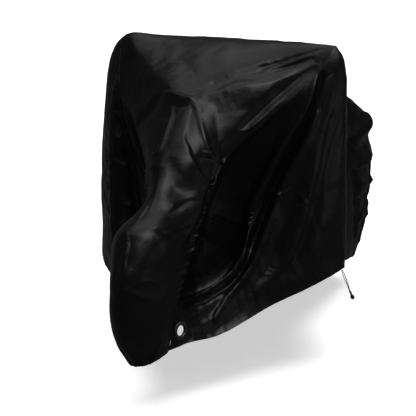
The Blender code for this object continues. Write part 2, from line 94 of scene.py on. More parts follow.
# name, q, y, z, roundness
CENTRE_SECTIONS = [
    ("nose_hem",    0.00, -0.680, 0.128, 1.0),
    ("nose_low",    0.18, -0.745, 0.225, 1.0),
    ("nose_tip",    0.40, -0.780, 0.350, 1.0),
    ("wheel_front", 0.55, -0.765, 0.440, 1.0),
    ("wheel_top",   0.68, -0.670, 0.520, 0.9),
    ("fork",        0.82, -0.560, 0.600, 0.6),
    ("knee",        1.00, -0.440, 0.720, 0.3),
    ("lamp",        1.14, -0.290, 0.850, 0.1),
    ("bar_front",   1.28, -0.110, 0.975, 0.0),
    ("bar",         1.36, 0.000, 1.022, 0.0),
    ("bar_back",    1.44, 0.090, 1.000, 0.0),
    ("spine",       1.58, 0.300, 0.930, 0.2),
    ("saddle",      1.74, 0.570, 0.885, 0.4),
    ("tail_top",    1.90, 0.880, 0.715, 0.4),
    ("tail_edge",   2.00, 0.985, 0.660, 0.4),
    ("tail_back",   2.40, 1.035, 0.450, 0.5),
    ("tail_hem",    3.00, 0.990, 0.100, 0.5),
]

# ---------------------------------------------------------------- folds
# Each fold runs through its places: (s, v) on a side panel, with v from the seam to the hem, and
# (q, w) on the centre panel, with w from -1000 at the right seam to 1000 at the left. The two
# widths are on its right and its left, seen from outside looking along it. It stands out by its
# height or sinks where that is negative. Places are in thousandths, and the widths and the
# height in millimetres. crisp is 1 for a sharp crease and 0 for a soft swell.
LEFT_FOLDS = [
    # name, places, right width, left width, height, crisp
    ("wing_edge_ridge", [(285, 0), (262, 100), (240, 200), (220, 390), (203, 540), (200, 680)],
     34, 16, 24, 0.7),
    ("wing_edge_groove", [(298, 20), (272, 120), (252, 220), (234, 360), (222, 500), (204, 700)],
     14, 20, -24, 0.5),
    ("inner_ridge", [(222, 470), (211, 580), (202, 660), (190, 745), (163, 800), (125, 815), (85, 800),
     (20, 745)], 12, 14, 14, 0.7),
    ("inner_groove", [(230, 460), (221, 570), (212, 680), (198, 780), (170, 840), (125, 855),
     (40, 800)], 12, 12, -12, 0.5),
    ("patch_edge_ridge", [(286, 170), (262, 290), (243, 400), (236, 485)], 12, 20, 11, 0.7),
    ("long_ridge", [(236, 480), (229, 600), (216, 720), (192, 830), (130, 940)], 16, 20, 21, 0.7),
    ("long_hollow", [(275, 340), (258, 550), (245, 700), (224, 840), (180, 925)], 26, 34, -16, 0.1),
    ("sweep_groove", [(318, 260), (303, 520), (287, 740), (264, 865), (200, 950), (110, 985)],
     22, 50, -14, 0.2),
    ("sweep_ridge", [(334, 360), (321, 580), (304, 740), (280, 860), (230, 940), (150, 985)], 30, 60, 8, 0),
    ("wing_groove", [(337, 100), (334, 400), (324, 660)], 30, 30, -4, 0),
    ("fan_ridge_1", [(206, 745), (165, 855), (100, 880), (30, 860)], 22, 20, 3.5, 0.3),
    ("fan_groove_1", [(212, 790), (165, 890), (100, 912), (30, 900)], 16, 16, -4, 0.3),
    ("fan_ridge_2", [(214, 810), (175, 915), (110, 945), (60, 940)], 22, 20, 2, 0.2),
    ("knee_fold_1", [(10, 100), (45, 280), (55, 460)], 10, 10, 7, 0.5),
    ("knee_fold_2", [(30, 360), (60, 520), (50, 700)], 8, 10, 5, 0.5),
    ("knee_pinch", [(0, 15), (30, 45), (80, 115)], 7, 7, 6, 0.8),
    ("pinch_1", [(233, 470), (237, 487), (246, 525)], 6, 6, 3, 0.9),
    ("pinch_2", [(236, 487), (246, 478), (258, 470)], 5, 6, 2.2, 0.9),
    ("pinch_3", [(258, 485), (268, 525), (281, 575)], 6, 10, 2.6, 0.9),
    ("pinch_4", [(276, 470), (277, 520), (284, 565)], 6, 8, -2.4, 0.8),
    ("pinch_5", [(262, 560), (271, 580), (284, 580)], 6, 8, 2.2, 0.9),
    ("pinch_6", [(222, 815), (229, 845), (238, 855)], 6, 8, 1.2, 0.8),
    ("pinch_7", [(232, 790), (238, 825), (248, 840)], 6, 8, -1.1, 0.8),
    ("rear_fold_1", [(385, 40), (430, 450), (470, 950)], 30, 30, 12, 0.3),
    ("rear_fold_2", [(400, 30), (500, 350), (560, 900)], 34, 30, -14, 0.3),
    ("rear_fold_3", [(560, 60), (580, 450), (600, 920)], 30, 36, 14, 0.3),
    ("rear_fold_4", [(620, 50), (650, 400), (660, 950)], 36, 40, -18, 0.3),
    ("rear_fold_5", [(700, 50), (710, 500), (730, 960)], 30, 34, 12, 0.4),
    ("rear_fold_6", [(760, 40), (820, 350), (850, 900)], 32, 30, -14, 0.4),
    ("tail_edge_ridge", [(925, 20), (893, 100), (858, 180), (815, 270)], 50, 45, 24, 0.9),
    ("tail_edge_groove", [(950, 140), (895, 240), (820, 350)], 20, 22, -12, 0.7),
    ("tail_crease_1", [(965, 220), (900, 340), (840, 420), (800, 460)], 26, 10, 12, 0.9),
    ("tail_crease_2", [(800, 360), (818, 420), (850, 470)], 14, 12, 9, 0.9),
    ("tail_crease_3", [(960, 420), (890, 500), (830, 500)], 18, 14, 10, 0.9),
    ("tail_crease_4", [(955, 600), (890, 580), (840, 640)], 20, 20, -10, 0.8),
    ("tail_crease_5", [(960, 720), (900, 700), (850, 780)], 24, 18, 10, 0.8),
    ("tail_crease_6", [(930, 300), (925, 600), (905, 900)], 20, 26, 10, 0.6),
    ("hollow_foot", [(0, 710), (80, 775), (125, 795), (160, 782), (184, 725), (200, 600)],
     12, 150, -74, 0.9),
    ("hem_lean", [(70, 1000), (130, 1000), (200, 1000), (280, 1000)], 20, 80, -26, 0.6),
]
RIGHT_FOLDS = [
    ("wing_edge_ridge", [(288, 0), (268, 200), (255, 550), (250, 920)], 20, 30, 18, 0.6),
    ("wing_edge_groove", [(270, 30), (235, 220), (215, 520), (205, 860)], 22, 24, -22, 0.4),
    ("mid_ridge", [(225, 50), (185, 300), (160, 600), (130, 900)], 18, 22, 16, 0.5),
    ("mid_groove", [(190, 60), (145, 280), (120, 550), (90, 840)], 20, 24, -16, 0.4),
    ("knee_ridge", [(110, 50), (85, 300), (60, 550)], 16, 18, 10, 0.5),
    ("cross_fold_1", [(300, 330), (250, 360), (190, 350)], 16, 12, 3.5, 0.7),
    ("cross_fold_2", [(310, 480), (250, 520), (180, 500)], 16, 12, -3, 0.7),
    ("cross_fold_3", [(315, 600), (260, 660), (190, 640)], 14, 14, 3, 0.7),
    ("rear_fold_1", [(385, 40), (440, 450), (470, 950)], 30, 30, 14, 0.3),
    ("rear_fold_2", [(410, 30), (500, 400), (540, 900)], 34, 30, -16, 0.3),
    ("rear_fold_3", [(560, 60), (585, 450), (600, 920)], 30, 36, 14, 0.3),
    ("rear_fold_4", [(630, 50), (650, 450), (670, 950)], 36, 40, -18, 0.3),
    ("rear_fold_5", [(700, 50), (720, 500), (730, 960)], 30, 34, 12, 0.4),
    ("rear_fold_6", [(770, 40), (830, 350), (850, 900)], 32, 30, -14, 0.4),
]
CENTRE_FOLDS = [
    ("leaf_ridge", [(1150, 0), (1105, 30), (1058, 100), (1020, 270), (955, 600), (880, 870)], 50, 14, 9, 1),
    ("leaf_edge", [(1148, 20), (1115, 170), (1062, 430), (1010, 730), (980, 900)], 12, 12, 4, 1),
    ("leaf_groove", [(1152, 100), (1143, 360), (1093, 570), (1018, 920)], 45, 110, -13, 1),
    ("kite_ridge", [(1152, -20), (1170, 250), (1200, 500), (1228, 700), (1262, 830), (1300, 930)],
     60, 28, 14, 0.8),
    ("kite_groove", [(1190, 60), (1232, 380), (1266, 600), (1302, 800)], 22, 18, -9, 0.3),
    ("bar_groove_1", [(1262, 500), (1300, 700), (1340, 880)], 10, 8, -8, 0.7),
    ("bar_ridge_1", [(1262, 560), (1295, 720), (1335, 900)], 22, 12, 5, 0.7),
    ("bar_groove_2", [(1252, 600), (1280, 730), (1316, 880)], 9, 10, -6, 0.7),
    ("brow_valley", [(1115, 860), (1160, 875), (1210, 875), (1260, 900), (1300, 945)], 14, 30, -13, 0.7),
    ("seam_roll", [(1110, 925), (1150, 950), (1185, 962)], 8, 8, 5, 0.6),
    ("fork_ridge", [(1150, -300), (1097, -230), (1042, -240), (985, -470)], 12, 10, 3.2, 0.9),
    ("cheek_ridge", [(1172, -450), (1135, -700), (1100, -970)], 20, 50, -10, 0.8),
    ("brow_ridge", [(1375, -970), (1330, -870), (1280, -680), (1215, -470), (1165, -250), (1150, 0)],
     85, 80, 16, 0.8),
    ("dart_groove", [(965, 60), (925, 200), (866, 500), (862, 860)], 50, 50, -14, 0.4),
    ("cross_crease", [(775, 400), (808, 600), (812, 860)], 12, 12, -5, 0.8),
    ("panel_ridge", [(940, -100), (850, -30), (770, 150), (690, 330)], 40, 60, 3, 0.6),
    ("panel_foot", [(695, 280), (672, 520), (682, 800)], 14, 12, -7, 0.8),
    ("nose_crease_1", [(478, 300), (488, 420), (462, 560)], 10, 12, 2.5, 0.7),
    ("nose_crease_2", [(420, -300), (455, 100), (390, 500)], 16, 14, 3, 0.6),
    ("hem_tuck_1", [(190, 220), (90, 170), (0, 130)], 8, 7, -7, 0.9),
    ("hem_tuck_2", [(170, 120), (80, 70), (0, 30)], 7, 8, -6, 0.9),
    ("hem_tuck_3", [(120, 660), (60, 550), (0, 400)], 9, 8, 7, 0.8),
    ("hem_tuck_4", [(140, -300), (70, -240), (0, -160)], 8, 8, -6, 0.8),
    ("saddle_dip", [(1500, -450), (1600, 0), (1690, 350)], 50, 50, -18, 0.2),
    ("saddle_ridge", [(1440, 350), (1560, 180), (1700, 200)], 34, 30, 10, 0.5),
    ("bar_back_fold", [(1400, -600), (1480, -300), (1600, -350)], 34, 30, 12, 0.5),
    ("tail_dip", [(1800, -500), (1850, 0), (1880, 600)], 40, 40, -14, 0.3),
    ("tail_ridge", [(1980, -600), (2020, 0), (1990, 700)], 30, 26, 10, 0.6),
    ("tail_fold_1", [(2050, -300), (2400, -240), (2900, -300)], 26, 30, -12, 0.4),
    ("tail_fold_2", [(2050, 350), (2450, 420), (2900, 300)], 26, 30, 12, 0.4),
    ("lamp_edge", [(1175, -450), (1158, -220), (1150, 20)], 36, 12, 9, 0.9),
    ("wheel_crest", [(630, -850), (655, -350), (670, 100), (670, 600)], 85, 110, 26, 0.6),
    ("neck_dent", [(600, -950), (700, -800), (800, -720), (880, -750)], 85, 85, -45, 0),
    ("cheek_swell", [(900, 840), (840, 840), (760, 840), (640, 800)], 65, 20, 18, 0.5),
    ("leaf_heel", [(1040, 800), (980, 900), (930, 900), (860, 880)], 60, 12, 18, 0.9),
    ("nose_under", [(500, -300), (500, 0), (500, 300), (500, 650)], 140, 100, -16, 0),
]
FOLDS = {"left": LEFT_FOLDS, "right": RIGHT_FOLDS, "centre": CENTRE_FOLDS}

RIDGE_REACH = 3.0  # widths from a ridge past which it isn't felt
RIDGE_ENDS = 0.55  # share of its width that a ridge has at its ends
CREST_ROUND = 0.16  # rounding of a crisp crest, as a share of its width
CREST_POWER = 1.25
FADE_START = 0.04  # half turns; a ridge starts a little way up
FADE_POWER = 0.6
FOLD_STEPS = 40  # points along a fold's line
SEAM_FADE = 0.012  # how far from a seam a fold has come out
GATHER_SEAM_FADE = 0.003

# Gathers: short ridges that start at a seam of a panel: the panel, the stretch of its long
# coordinate, the seam, how many they are, and their length, width and height
GATHERS = [
    ("centre", (0.30, 0.94), "left_seam", 52, 0.036, 0.0058, 0.0056),
    ("centre", (0.06, 0.34), "left_seam", 16, 0.022, 0.0040, 0.0025),
    ("centre", (0.10, 0.92), "right_seam", 50, 0.026, 0.0040, 0.0040),
    ("centre", (2.10, 2.95), "left_seam", 40, 0.034, 0.0045, 0.0045),
    ("centre", (2.10, 2.95), "right_seam", 40, 0.034, 0.0045, 0.0045),
]
GATHER_LENGTHS = (0.25, 1.35)  # least and greatest share of a row's own length
GATHER_WIDTHS = (0.7, 1.7)
GATHER_HEIGHTS = (0.5, 1.3)
GATHER_SLANT = 5  # grid lines either way
GATHER_STEPS = 10
GATHER_CRISP = 0.7

# Small unevenness of the cloth: rows of (size of a feature, seed, height)
ROLLING = [(0.11, 3, 0.0035), (0.045, 5, 0.0012)]
CRUSHED_RIGHT = [(0.060, 41, 0.0030), (0.024, 43, 0.0010)]  # the right panel in front of its wing
CRUSHED_TAIL = [(0.130, 51, 0.008), (0.055, 53, 0.002)]  # round the tail
CRUSHED_MEAN = 0.4
CREASED = (0.035, 31, 0.45, 0.0016)  # size, seed, mean and height of fine creases
CREASED_PARTS = (0.16, 21, 1.6, 0.1)  # size, seed, gain and start of the parts that have them
CRUSHED_RIGHT_END = 0.34  # share of the seam where the right panel's crushed front ends
CRUSHED_TAIL_START = 0.78  # share of the seam where the crushed tail starts
CRUSHED_BLEND = 0.06
STREAK_SIZE = (0.022, 0.30)  # of a side panel's streaks, along the seam and down
STREAK_SIZE_CENTRE = (0.16, 0.05)  # along the centre panel and across
STREAK_SEED = 11
STREAK_HEIGHT = 0.0014

# The tie's cords, from the hem's corner to the stopper, with heights above the ground
TIE_FRONT = [(0.4000, -0.0030, 0.2955), (0.4040, 0.0050, 0.2760),
             (0.4110, 0.0190, 0.2480), (0.4165, 0.0325, 0.2215)]
TIE_BACK = [(0.3995, 0.0080, 0.2945), (0.4060, 0.0155, 0.2755),
            (0.4125, 0.0250, 0.2480), (0.4170, 0.0355, 0.2212)]
CORD_DIAMETER = 0.0025
CORD_STEPS = 30

HOLE_RADIUS = 0.0205  # cloth cut away round an eyelet's hole, under its flange
FLAT_RADIUS = 0.032  # flat cloth round it
FLAT_BLEND = 0.028  # and from there to where the cloth hangs as it would
RING_SECTIONS = 72
EYELET_ROUNDING = 0.0010
EYELET_STEPS = 5  # points round each of its corners
PATCH_CORNERS = [(0.288, 0.035), (0.331, 0.066), (0.313, 0.325), (0.283, 0.245)]
PATCH_GRID = (25, 81)
PATCH_SIZE = (0.060, 0.220)
PATCH_LIFT = 0.0006  # of the patch's edge above the panel
PATCH_PUFF = 0.0012  # how much higher the patch is inside its edge
PATCH_ROLL = 0.004  # width of its rolled edge
PATCH_STITCHES = 4  # grid cells from its edge to its stitches
STITCH_GROOVE = (0.006, 0.0016, 0.0009)  # place in from the edge, width and depth
STITCH_PITCH = 0.0052
STITCH_START = 0.3  # of a pitch, before the first stitch
STITCH_SHARES = (0.0, 0.2, 0.55, 0.75)  # of a pitch, at a stitch's ends and its two rings
STITCH_RADIUS = 0.00035
STITCH_LIFT = 0.0002
STOPPER_START = (0.4173, 0.0353, 0.2194)
STOPPER_END = (0.4230, 0.0560, 0.1880)
STOPPER_SIDES = 28
STOPPER_PROFILE = [  # share of its length, radius
    (0.000, 0.0022), (0.012, 0.0029), (0.06, 0.0034), (0.14, 0.0034), (0.17, 0.0029), (0.20, 0.0034),
    (0.30, 0.0034), (0.33, 0.0029), (0.36, 0.0034), (0.48, 0.0035), (0.54, 0.0044), (0.62, 0.0058),
    (0.70, 0.0067), (0.78, 0.0068), (0.86, 0.0066), (0.93, 0.0055), (0.975, 0.0036), (1.0, 0.0012)]

# Light: two broad softboxes far enough away to be the same all over, and two nearer the cloth
FAR_BOXES = [
    # name, direction it comes from, strength, degrees across, lights dull surfaces too
    ("overhead", (-0.05, 0.12, 0.99), 3.2, 64.0, True),
    ("right_box", (0.498, -0.181, 0.848), 6.5, 44.0, False),
]
WORLD_STRENGTH = 0.12
FLOOR_GLOW = 0.55  # keeps the shadow on the floor pale
FLOOR_HALF = 30.0
SOFTBOXES = [
    # name, place, aim, size, power
    ("side_box", (3.6, 0.2, -0.5), (0.2, 0.0, -0.6), (2.2, 1.0), 13.0),
    ("fill_box", (-2.6, -3.2, 0.6), (-0.1, -0.3, -0.6), (1.8, 1.8), 6.0),
]

# ---------------------------------------------------------------- the draped surface
def spline(knots, rows, at):
    """Smooth values through the rows at the places at; rows has one row for each knot."""
    slope = np.gradient(rows, knots, axis=0)
    i = np.clip(np.searchsorted(knots, at, side="right") - 1, 0, len(knots) - 2)
    span = (knots[i + 1] - knots[i])[:, None]
    t = (at - knots[i])[:, None] / span
    return ((1 + 2 * t) * (1 - t) ** 2 * rows[i] + t * (1 - t) ** 2 * span * slope[i]
            + t ** 2 * (3 - 2 * t) * rows[i + 1] + t ** 2 * (t - 1) * span * slope[i + 1])


def distances(line):
    """How far along a line of points each of them is."""
    return np.concatenate([[0], np.cumsum(np.linalg.norm(np.diff(line, axis=0), axis=1))])


def table_values(table, at):
    numbers = np.array([row[1:] for row in table])
    return spline(numbers[:, 0], numbers[:, 1:], at)


def side_surface(s, v, side):
    """Points of a side panel at s along the seam and v down from it."""
    s, v = np.broadcast_arrays(np.asarray(s, float), np.asarray(v, float))
    sections = LEFT_SECTIONS if side == "left" else RIGHT_SECTIONS
    values = table_values(sections, s.ravel()).reshape(s.shape + (11,))
    top, hem = values[..., 0:3], values[..., 3:6]
    high, low, shoulder = values[..., 6:8], values[..., 8:10], values[..., 10]
    down = v[..., None]
    points = top + (hem - top) * down
    bows = high * (BOW_SCALE * down * (1 - down) ** 2) + low * (BOW_SCALE * down ** 2 * (1 - down))
    points[..., :2] += bows
    points[..., 0] += shoulder * (1 - np.exp(-v / SHOULDER_DROP)) * (1 - v)
    if side == "right":
        points[..., 0] *= -1
    points[..., 2] -= TOP_HEIGHT
    return points


def centre_surface(q, w):
    """Points of the centre panel at q along it and w across it."""
    q, w = np.broadcast_arrays(np.asarray(q, float), np.asarray(w, float))
    s = np.clip(q - 1, 0, 1)
    v = np.where(q < 1, 1 - q, np.maximum(q - 2, 0))
    left, right = side_surface(s, v, "left"), side_surface(s, v, "right")
    middle, half = (left + right) / 2, (left - right) / 2
    values = table_values(CENTRE_SECTIONS, q.ravel()).reshape(q.shape + (3,))
    crown = np.stack([-middle[..., 0], values[..., 0] - middle[..., 1],
                      values[..., 1] - TOP_HEIGHT - middle[..., 2]], axis=-1)
    roundness = values[..., 2]
    across = (1 - roundness) * w + roundness * np.sin(np.pi * w / 2)
    out = (1 - roundness) * (1 - w ** 2) + roundness * np.cos(np.pi * w / 2)
    return middle + half * across[..., None] + crown * out[..., None]


def surface(panel, a, b):
    return centre_surface(a, b) if panel == "centre" else side_surface(a, b, panel)


def grid_normals(points, panel):
    """Unit normals of a panel's grid of points, pointing out of the cover."""
    normals = np.cross(np.gradient(points, axis=0), np.gradient(points, axis=1))
    normals /= np.linalg.norm(normals, axis=-1, keepdims=True)
    return normals if panel == "right" else -normals


def run_length(points, axis):
    """Distance along the grid lines of one axis, from their first point."""
    steps = np.linalg.norm(np.diff(points, axis=axis), axis=-1)
    lengths = np.cumsum(steps, axis=axis)
    start = np.zeros_like(np.take(lengths, [0], axis=axis))
    return np.concatenate([start, lengths], axis=axis)


class Panel:
    """One cloth panel: its grid places, its draped points, and distances to its edges."""

    def __init__(self, name, a, b):
        self.name = name
        self.a, self.b = np.meshgrid(a, b, indexing="ij")
        self.points = surface(name, self.a, self.b)
        self.normals = grid_normals(self.points, name)
        self.along = run_length(self.points, 0)
        self.across = run_length(self.points, 1)
        far_along, far_across = self.along[-1] - self.along, self.across[:, -1:] - self.across
        if name == "centre":
            self.from_seam = np.minimum(self.across, far_across)
        else:
            self.from_seam = np.minimum(np.minimum(self.along, far_along), self.across)
        self.lift = np.zeros(self.a.shape)

    def add_ridge(self, line, normals, right_width, left_width, height, crisp):
        """Raise the cloth along a line of points, or sink it, with each side's own width."""
        reach = RIDGE_REACH * max(right_width, left_width)
        low, high = line.min(axis=0) - reach, line.max(axis=0) + reach
        near = np.all((self.points > low) & (self.points < high), axis=-1)
        if not near.any():
            return
        points = self.points[near]
        nearest = np.linalg.norm(points[:, None] - line, axis=-1).argmin(axis=1)
        away = np.full(len(points), np.inf)
        along = np.zeros(len(points))
        offset = np.zeros(points.shape)
        ahead = np.zeros(points.shape)
        for shift in (-1, 0):
            first = np.clip(nearest + shift, 0, len(line) - 2)
            step = line[first + 1] - line[first]
            share = np.einsum("ij,ij->i", points - line[first], step) / np.einsum("ij,ij->i", step, step)
            share = np.clip(share, 0, 1)
            gap = points - line[first] - step * share[:, None]
            length = np.linalg.norm(gap, axis=1)
            closer = length < away
            away[closer], along[closer] = length[closer], (first + share)[closer]
            offset[closer], ahead[closer] = gap[closer], step[closer]
        on_left = np.einsum("ij,ij->i", np.cross(ahead, offset), normals[nearest]) > 0
        along = along / (len(line) - 1)
        width = np.where(on_left, left_width, right_width)
        width *= (RIDGE_ENDS + (1 - RIDGE_ENDS) * np.sin(np.pi * along) ** 0.5)
        share = away / width
        tent = np.clip(1 + CREST_ROUND - np.sqrt(share ** 2 + CREST_ROUND ** 2), 0, None) ** CREST_POWER
        swell = np.exp(-share ** 2)
        fade = np.sin(np.pi * (FADE_START + (1 - 2 * FADE_START) * along)) ** FADE_POWER
        self.lift[near] += height * fade * (crisp * tent + (1 - crisp) * swell)

    def add_fold(self, places, right_width, left_width, height, crisp):
        knots = distances(places)
        smooth = spline(knots, places, np.linspace(0, knots[-1], FOLD_STEPS))
        line = surface(self.name, smooth[:, 0], smooth[:, 1])
        self.add_ridge(line, self.normals_at(smooth), right_width, left_width, height, crisp)

    def normals_at(self, places):
        """Normals at the grid points nearest to the places."""
        first = np.abs(self.a[:, 0][None] - places[:, :1]).argmin(axis=1)
        second = np.abs(self.b[0][None] - places[:, 1:2]).argmin(axis=1)
        return self.normals[first, second]

    def settle(self, seam_fade=SEAM_FADE):
        """Move the points by what was raised, holding the seams where they are."""
        hold = 1 - np.exp(-(self.from_seam / seam_fade) ** 2)
        self.points = self.points + self.normals * (self.lift * hold)[..., None]
        self.normals = grid_normals(self.points, self.name)
        self.lift[:] = 0


def noise_field(places, seed):
    """Smooth noise from about -1 to 1 with features about one unit across."""
    if places.shape[-1] == 2:
        places = np.concatenate([places, np.zeros(places.shape[:-1] + (1,))], axis=-1)
    flat = (places + (seed * 17.31, seed * 5.17, seed * 9.73)).reshape(-1, 3).tolist()
    return np.array([noise.noise(place) for place in flat]).reshape(places.shape[:-1])


def creases(places, seed):
    """Noise with sharp crests, as in crushed cloth, from 0 to 1."""
    return (1 - np.abs(noise_field(places, seed))) ** 2


def crushing(points, table):
    """Crests of every size in a table of crushed cloth, added up."""
    return sum((creases(points / size, seed) - CRUSHED_MEAN) * height for size, seed, height in table)


def add_gathers(panel, stretch, side, count, length, width, height, rng):
    """Short ridges at right angles to a seam, uneven in place, size and slant."""
    last = panel.b.shape[1] - 1
    start = last if side == "left_seam" else 0
    reach = panel.across[:, -1:] - panel.across if side == "left_seam" else panel.across
    rows = np.flatnonzero((panel.a[:, 0] > stretch[0]) & (panel.a[:, 0] < stretch[1]))
    for row in np.sort(rng.choice(rows, count, replace=False)):
        long = length * rng.uniform(*GATHER_LENGTHS)
        end = min(max(row + int(rng.normal(0, GATHER_SLANT)), 0), len(panel.a) - 1)
        inside = int(np.abs(reach[end] - long).argmin())
        index_a = np.round(np.linspace(row, end, GATHER_STEPS)).astype(int)
        index_b = np.round(np.linspace(start, inside, GATHER_STEPS)).astype(int)
        wide = width * rng.uniform(*GATHER_WIDTHS)
        panel.add_ridge(panel.points[index_a, index_b], panel.normals[index_a, index_b],
                        wide, wide, height * rng.uniform(*GATHER_HEIGHTS), GATHER_CRISP)


def drape(panel, rng):
    """Folds first, then gathers, then the small unevenness of hanging cloth."""
    for name, places, right_width, left_width, height, crisp in FOLDS[panel.name]:
        panel.add_fold(np.array(places) / 1000, right_width / 1000, left_width / 1000, height / 1000, crisp)
    panel.settle()
    for name, stretch, side, count, length, width, height in GATHERS:
        if name == panel.name:
            add_gathers(panel, stretch, side, count, length, width, height, rng)
    panel.settle(GATHER_SEAM_FADE)

    points = panel.points
    rolling = sum(noise_field(points / size, seed) * height for size, seed, height in ROLLING)
    streak_size = STREAK_SIZE_CENTRE if panel.name == "centre" else STREAK_SIZE
    flow = np.stack([panel.along / streak_size[0], panel.across / streak_size[1]], axis=-1)
    streaks = noise_field(flow, STREAK_SEED) * STREAK_HEIGHT
    size, seed, gain, start = CREASED_PARTS
    creased = np.clip(noise_field(points / size, seed) * gain - start, 0, 1)
    size, seed, mean, height = CREASED
    crushed = (creases(points / size, seed) - mean) * height * creased
    if panel.name == "right":
        front = np.clip((CRUSHED_RIGHT_END - panel.a) / CRUSHED_BLEND, 0, 1)
        crushed += crushing(points, CRUSHED_RIGHT) * front
    tail_start = CRUSHED_TAIL_START + (1 if panel.name == "centre" else 0)
    tail = np.clip((panel.a - tail_start) / CRUSHED_BLEND, 0, 1)
    crushed += crushing(points, CRUSHED_TAIL) * tail
    panel.lift = rolling + streaks + crushed
    panel.settle()


# ---------------------------------------------------------------- materials
def new_material(name, colour, roughness, **sockets):
    made = bpy.data.materials.new(name)
    made.use_nodes = True
    shader = made.node_tree.nodes["Principled BSDF"]
    shader.inputs["Base Color"].default_value = (*colour, 1)
    shader.inputs["Roughness"].default_value = roughness
    for socket, value in sockets.items():
        shader.inputs[socket.replace("_", " ")].default_value = value
    return made, made.node_tree.nodes, made.node_tree.links, shader


def texture(nodes, links, kind, coordinates, **settings):
    node = nodes.new(kind)
    for name, value in settings.items():
        if name in node.inputs:
            node.inputs[name].default_value = value
        else:
            setattr(node, name, value)
    links.new(coordinates, node.inputs["Vector"])
    return node


def add_bump(nodes, links, height, strength, distance, before=None):
    bump = nodes.new("ShaderNodeBump")
    bump.inputs["Strength"].default_value = strength
    bump.inputs["Distance"].default_value = distance
    links.new(height, bump.inputs["Height"])
    if before:
        links.new(before, bump.inputs["Normal"])
    return bump.outputs["Normal"]


def remap(nodes, links, value, low, high, from_low=0.0, from_high=1.0):
    node = nodes.new("ShaderNodeMapRange")
    node.inputs["From Min"].default_value = from_low
    node.inputs["From Max"].default_value = from_high
    node.inputs["To Min"].default_value = low
    node.inputs["To Max"].default_value = high
    links.new(value, node.inputs["Value"])
    return node.outputs["Result"]


def cloth_material():
    """Coated black taffeta: a fine plain weave under a thin satin coating, with tiny creases."""
    made, nodes, links, shader = new_material("coated_cloth", (0.0022, 0.0022, 0.0025), 0.42,
                                              Specular_IOR_Level=0.06)
    place = nodes.new("ShaderNodeTexCoord")
    metres, uv = place.outputs["Object"], place.outputs["UV"]
    clouds = texture(nodes, links, "ShaderNodeTexNoise", metres, Scale=14.0, Detail=4.0)
    satin = remap(nodes, links, clouds.outputs["Fac"], 0.29, 0.40, from_low=0.3, from_high=0.7)
    links.new(satin, shader.inputs["Roughness"])
    warp, weft = [texture(nodes, links, "ShaderNodeTexWave", uv, Scale=260.0, bands_direction=way,
                          wave_profile="SIN") for way in ("X", "Y")]
    weave = nodes.new("ShaderNodeMath")
    weave.operation = "MULTIPLY"
    links.new(warp.outputs["Fac"], weave.inputs[0])
    links.new(weft.outputs["Fac"], weave.inputs[1])
    rumple = texture(nodes, links, "ShaderNodeTexNoise", metres, Scale=90.0, Detail=6.0, Roughness=0.6)
    small = texture(nodes, links, "ShaderNodeTexNoise", metres, Scale=26.0, Detail=3.0, Distortion=0.6)
    normal = add_bump(nodes, links, small.outputs["Fac"], strength=0.22, distance=0.006)
    normal = add_bump(nodes, links, rumple.outputs["Fac"], strength=0.14, distance=0.0016, before=normal)
    normal = add_bump(nodes, links, weave.outputs["Value"], strength=0.10, distance=0.0003, before=normal)
    links.new(normal, shader.inputs["Normal"])
    return made


def grained_material(name, colour, roughness, specular, strength, distance, kind, **settings):
    """One colour with a fine grain standing out of it."""
    made, nodes, links, shader = new_material(name, colour, roughness, Specular_IOR_Level=specular)
    place = nodes.new("ShaderNodeTexCoord").outputs["Object"]
    grain = texture(nodes, links, kind, place, **settings)
    links.new(add_bump(nodes, links, grain.outputs["Fac"], strength, distance), shader.inputs["Normal"])
    return made, nodes, links, shader, place


def plastic_material():
    made, nodes, links, shader, place = grained_material(
        "moulded_plastic", (0.0040, 0.0040, 0.0042), roughness=0.36, specular=0.22, strength=0.2,
        distance=0.0003, kind="ShaderNodeTexNoise", Scale=900.0, Detail=3.0)
    wear = texture(nodes, links, "ShaderNodeTexNoise", place, Scale=70.0, Detail=3.0)
    worn = remap(nodes, links, wear.outputs["Fac"], 0.30, 0.46, from_low=0.3, from_high=0.7)
    links.new(worn, shader.inputs["Roughness"])
    return made


def cord_material():
    return grained_material(
        "braided_cord", (0.0045, 0.0045, 0.0048), roughness=0.75, specular=0.2, strength=0.6,
        distance=0.0005, kind="ShaderNodeTexWave", Scale=420.0, Distortion=1.5,
        bands_direction="DIAGONAL")[0]


def thread_material():
    return grained_material(
        "black_thread", (0.0060, 0.0060, 0.0065), roughness=0.55, specular=0.25, strength=0.4,
        distance=0.0002, kind="ShaderNodeTexNoise", Scale=2500.0)[0]


def floor_material():
    made, nodes, links, shader = new_material("pale_floor", (0.86, 0.86, 0.86), 0.9)
    place = nodes.new("ShaderNodeTexCoord").outputs["Object"]
    grain = texture(nodes, links, "ShaderNodeTexNoise", place, Scale=40.0)
    links.new(remap(nodes, links, grain.outputs["Fac"], 0.86, 0.94), shader.inputs["Roughness"])
    shader.inputs["Emission Color"].default_value = (1, 1, 1, 1)
    shader.inputs["Emission Strength"].default_value = FLOOR_GLOW
    return made


# ---------------------------------------------------------------- meshes
def add_object(name, data):
    made = bpy.data.objects.new(name, data)
    bpy.context.collection.objects.link(made)
    return made


def mesh_object(name, points, faces, made_of, uv=None):
    mesh = bpy.data.meshes.new(name)
    mesh.from_pydata([tuple(p) for p in points], [], [tuple(f) for f in faces])
    mesh.materials.append(made_of)
    if uv is not None:
        layer = mesh.uv_layers.new(name="metres")
        corners = np.empty(len(mesh.loops), np.int32)
        mesh.loops.foreach_get("vertex_index", corners)
        layer.data.foreach_set("uv", uv[corners].astype(np.float32).ravel())
    mesh.shade_smooth()
    return add_object(name, mesh)


def grid_quads(columns, rows):
    i, j = np.meshgrid(np.arange(columns - 1), np.arange(rows - 1), indexing="ij")
    first = (i * rows + j).ravel()
    return np.stack([first, first + 1, first + rows + 1, first + rows], axis=1)


